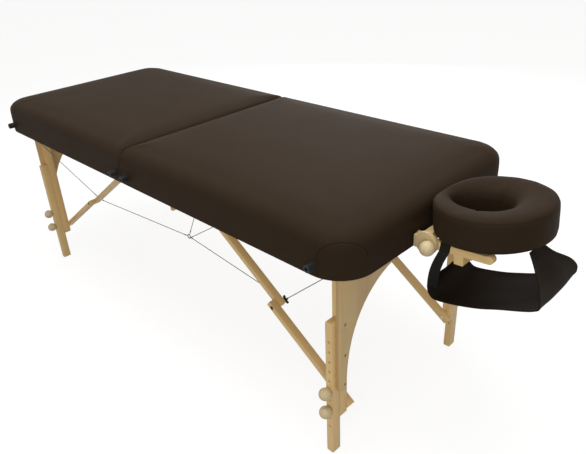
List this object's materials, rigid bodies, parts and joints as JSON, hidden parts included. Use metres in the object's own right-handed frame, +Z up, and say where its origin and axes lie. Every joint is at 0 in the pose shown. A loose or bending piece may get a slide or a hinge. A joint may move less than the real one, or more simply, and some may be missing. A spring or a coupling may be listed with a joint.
{
  "type": "portable massage table",
  "caption": "Folding massage table with a padded vinyl top, wooden legs with arched end panels, cable braces, and a tilting face cradle with an arm sling.",
  "frame": {"origin": "on the floor below the middle of the whole table, face cradle included", "axes": "+X along the table towards the face cradle, +Y across it away from the bumpers, +Z up"},
  "size_m": [2.1686, 0.81, 0.7732],
  "materials": {
    "vinyl": "matte dark brown upholstery vinyl",
    "beech": "clear satin lacquer",
    "plywood": "clear satin lacquer",
    "rubber": "matte moulded rubber",
    "webbing": "woven nylon webbing",
    "sling_cloth": "dark brown coated cloth",
    "steel": "zinc plated",
    "black_steel": "black oxide"
  },
  "bodies": {
    "foot_half": {"foot_rails": "beech", "foot_end_rail": "beech", "foot_deck": "plywood", "foot_cover_skirt": "vinyl", "foot_cushion": "vinyl", "foot_bumpers": "rubber", "foot_handle": "webbing", "foot_hinge_leaf": "steel", "foot_frame_blocks": "beech", "latch_pins": "steel"},
    "hinge": {"hinge_pin": "steel", "centre_cables": "steel"},
    "head_half": {"head_rails": "beech", "head_end_rail": "beech", "head_deck": "plywood", "head_cover_skirt": "vinyl", "head_cushion": "vinyl", "head_bumpers": "rubber", "head_handle": "webbing", "head_hinge_leaf": "steel", "head_frame_blocks": "beech", "latch_studs": "steel", "cradle_sockets": "beech"},
    "foot_legs": {"foot_upper_legs": "beech", "foot_end_panel": "plywood", "foot_leg_hardware": "steel"},
    "foot_upper_brace": {"foot_upper_braces": "beech", "foot_brace_hardware": "black_steel", "foot_cables": "steel"},
    "foot_lower_brace": {"foot_lower_braces": "beech"},
    "foot_near_lower_leg": {"foot_near_lower_leg": "beech"},
    "foot_near_top_knob": {"foot_near_top_knob": "beech"},
    "foot_near_low_knob": {"foot_near_low_knob": "beech"},
    "foot_far_lower_leg": {"foot_far_lower_leg": "beech"},
    "foot_far_top_knob": {"foot_far_top_knob": "beech"},
    "foot_far_low_knob": {"foot_far_low_knob": "beech"},
    "head_legs": {"head_upper_legs": "beech", "head_end_panel": "plywood", "head_leg_hardware": "steel"},
    "head_upper_brace": {"head_upper_braces": "beech", "head_brace_hardware": "black_steel", "head_cables": "steel"},
    "head_lower_brace": {"head_lower_braces": "beech"},
    "head_near_lower_leg": {"head_near_lower_leg": "beech"},
    "head_near_top_knob": {"head_near_top_knob": "beech"},
    "head_near_low_knob": {"head_near_low_knob": "beech"},
    "head_far_lower_leg": {"head_far_lower_leg": "beech"},
    "head_far_top_knob": {"head_far_top_knob": "beech"},
    "head_far_low_knob": {"head_far_low_knob": "beech"},
    "cradle_base": {"cradle_posts": "beech", "cradle_crossbar": "beech", "cradle_cheeks": "beech", "cradle_bolt": "steel"},
    "cradle_knob": {"cradle_knob": "beech"},
    "cradle_head": {"cradle_arms": "beech", "cradle_platform": "plywood", "face_cushion": "vinyl", "arm_sling": "sling_cloth"},
    "inner_latch": {"inner_latch_hook": "steel"},
    "outer_latch": {"outer_latch_hook": "steel"}
  },
  "joints": [
    {"name": "foot_fold", "type": "hinge", "parent": "foot_half", "child": "hinge", "pos_m": [-0.1573, 0, 0.629], "axis": [0, 1, 0], "range_deg": [0, 90], "deforming": ["foot_cables"]},
    {"name": "head_fold", "type": "hinge", "parent": "hinge", "child": "head_half", "pos_m": [-0.1573, 0, 0.629], "axis": [0, 1, 0], "range_deg": [0, 90], "deforming": ["head_cables"]},
    {"name": "foot_legs_fold", "type": "hinge", "parent": "foot_half", "child": "foot_legs", "pos_m": [-0.9833, 0, 0.655], "axis": [0, -1, 0], "range_deg": [0, 90]},
    {"name": "foot_upper_brace_fold", "type": "hinge", "parent": "foot_half", "child": "foot_upper_brace", "pos_m": [-0.2323, 0, 0.67], "axis": [0, 1, 0], "range_deg": [0, 34.71]},
    {"name": "foot_lower_brace_fold", "type": "hinge", "parent": "foot_legs", "child": "foot_lower_brace", "pos_m": [-0.9833, 0, 0.15], "axis": [0, -1, 0], "range_deg": [0, 55.31]},
    {"name": "foot_near_leg_slide", "type": "slide", "parent": "foot_legs", "child": "foot_near_lower_leg", "axis": [0, 0, -1], "range_m": [-0.066, 0.132]},
    {"name": "foot_near_top_knob_turn", "type": "hinge", "parent": "foot_legs", "child": "foot_near_top_knob", "pos_m": [-0.9833, -0.342, 0.231], "axis": [0, 1, 0], "continuous": true},
    {"name": "foot_near_low_knob_turn", "type": "hinge", "parent": "foot_legs", "child": "foot_near_low_knob", "pos_m": [-0.9833, -0.342, 0.165], "axis": [0, 1, 0], "continuous": true},
    {"name": "foot_far_leg_slide", "type": "slide", "parent": "foot_legs", "child": "foot_far_lower_leg", "axis": [0, 0, -1], "range_m": [-0.066, 0.132]},
    {"name": "foot_far_top_knob_turn", "type": "hinge", "parent": "foot_legs", "child": "foot_far_top_knob", "pos_m": [-0.9833, 0.342, 0.231], "axis": [0, 1, 0], "continuous": true},
    {"name": "foot_far_low_knob_turn", "type": "hinge", "parent": "foot_legs", "child": "foot_far_low_knob", "pos_m": [-0.9833, 0.342, 0.165], "axis": [0, 1, 0], "continuous": true},
    {"name": "head_legs_fold", "type": "hinge", "parent": "head_half", "child": "head_legs", "pos_m": [0.6687, 0, 0.655], "axis": [0, 1, 0], "range_deg": [0, 90]},
    {"name": "head_upper_brace_fold", "type": "hinge", "parent": "head_half", "child": "head_upper_brace", "pos_m": [-0.0823, 0, 0.67], "axis": [0, -1, 0], "range_deg": [0, 34.71]},
    {"name": "head_lower_brace_fold", "type": "hinge", "parent": "head_legs", "child": "head_lower_brace", "pos_m": [0.6687, 0, 0.15], "axis": [0, 1, 0], "range_deg": [0, 55.31]},
    {"name": "head_near_leg_slide", "type": "slide", "parent": "head_legs", "child": "head_near_lower_leg", "axis": [0, 0, -1], "range_m": [-0.066, 0.132]},
    {"name": "head_near_top_knob_turn", "type": "hinge", "parent": "head_legs", "child": "head_near_top_knob", "pos_m": [0.6687, -0.342, 0.231], "axis": [0, 1, 0], "continuous": true},
    {"name": "head_near_low_knob_turn", "type": "hinge", "parent": "head_legs", "child": "head_near_low_knob", "pos_m": [0.6687, -0.342, 0.165], "axis": [0, 1, 0], "continuous": true},
    {"name": "head_far_leg_slide", "type": "slide", "parent": "head_legs", "child": "head_far_lower_leg", "axis": [0, 0, -1], "range_m": [-0.066, 0.132]},
    {"name": "head_far_top_knob_turn", "type": "hinge", "parent": "head_legs", "child": "head_far_top_knob", "pos_m": [0.6687, 0.342, 0.231], "axis": [0, 1, 0], "continuous": true},
    {"name": "head_far_low_knob_turn", "type": "hinge", "parent": "head_legs", "child": "head_far_low_knob", "pos_m": [0.6687, 0.342, 0.165], "axis": [0, 1, 0], "continuous": true},
    {"name": "cradle_slide", "type": "slide", "parent": "head_half", "child": "cradle_base", "axis": [1, 0, 0], "range_m": [0, 0.05]},
    {"name": "cradle_tilt", "type": "hinge", "parent": "cradle_base", "child": "cradle_head", "pos_m": [0.8277, 0, 0.658], "axis": [0, -1, 0], "range_deg": [-30, 2]},
    {"name": "cradle_knob_turn", "type": "hinge", "parent": "cradle_base", "child": "cradle_knob", "pos_m": [0.8277, -0.152, 0.658], "axis": [0, 1, 0], "continuous": true},
    {"name": "inner_latch_swing", "type": "hinge", "parent": "foot_half", "child": "inner_latch", "pos_m": [-0.4573, 0.3845, 0.659], "axis": [0, 1, 0], "range_deg": [-90, 0]},
    {"name": "outer_latch_swing", "type": "hinge", "parent": "foot_half", "child": "outer_latch", "pos_m": [-0.8573, 0.3845, 0.659], "axis": [0, 1, 0], "range_deg": [-90, 0]}
  ],
  "couplings": [
    {"joint": "foot_legs_fold", "follows": "foot_fold", "ratio": 1},
    {"joint": "foot_upper_brace_fold", "follows": "foot_fold", "ratio": 0.38555},
    {"joint": "foot_lower_brace_fold", "follows": "foot_fold", "ratio": 0.61445},
    {"joint": "head_legs_fold", "follows": "head_fold", "ratio": 1},
    {"joint": "head_upper_brace_fold", "follows": "head_fold", "ratio": 0.38555},
    {"joint": "head_lower_brace_fold", "follows": "head_fold", "ratio": 0.61445}
  ]
}
